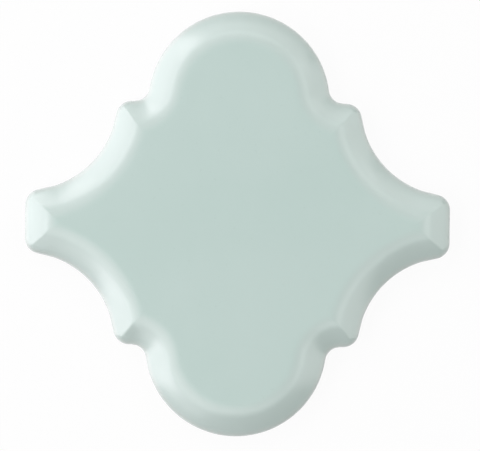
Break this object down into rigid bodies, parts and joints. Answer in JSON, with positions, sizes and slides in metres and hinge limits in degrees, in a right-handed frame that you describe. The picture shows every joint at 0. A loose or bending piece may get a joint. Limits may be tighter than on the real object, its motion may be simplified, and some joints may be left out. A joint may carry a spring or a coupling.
{
  "type": "arabesque wall tile",
  "caption": "Flat glazed ceramic wall tile with a lobed, cove-sided arabesque outline and a broad bevelled rim, laid edge to edge with its like.",
  "frame": {"origin": "middle of the flat back", "axes": "+Z out of the glazed face, +X from tip to tip, +Y from lobe to lobe"},
  "size_m": [0.12, 0.12, 0.0085],
  "materials": {
    "glaze": "smooth semi-gloss glaze, pale grey-green celadon"
  },
  "bodies": {
    "root": {"arabesque_tile": "glaze"}
  },
  "joints": []
}
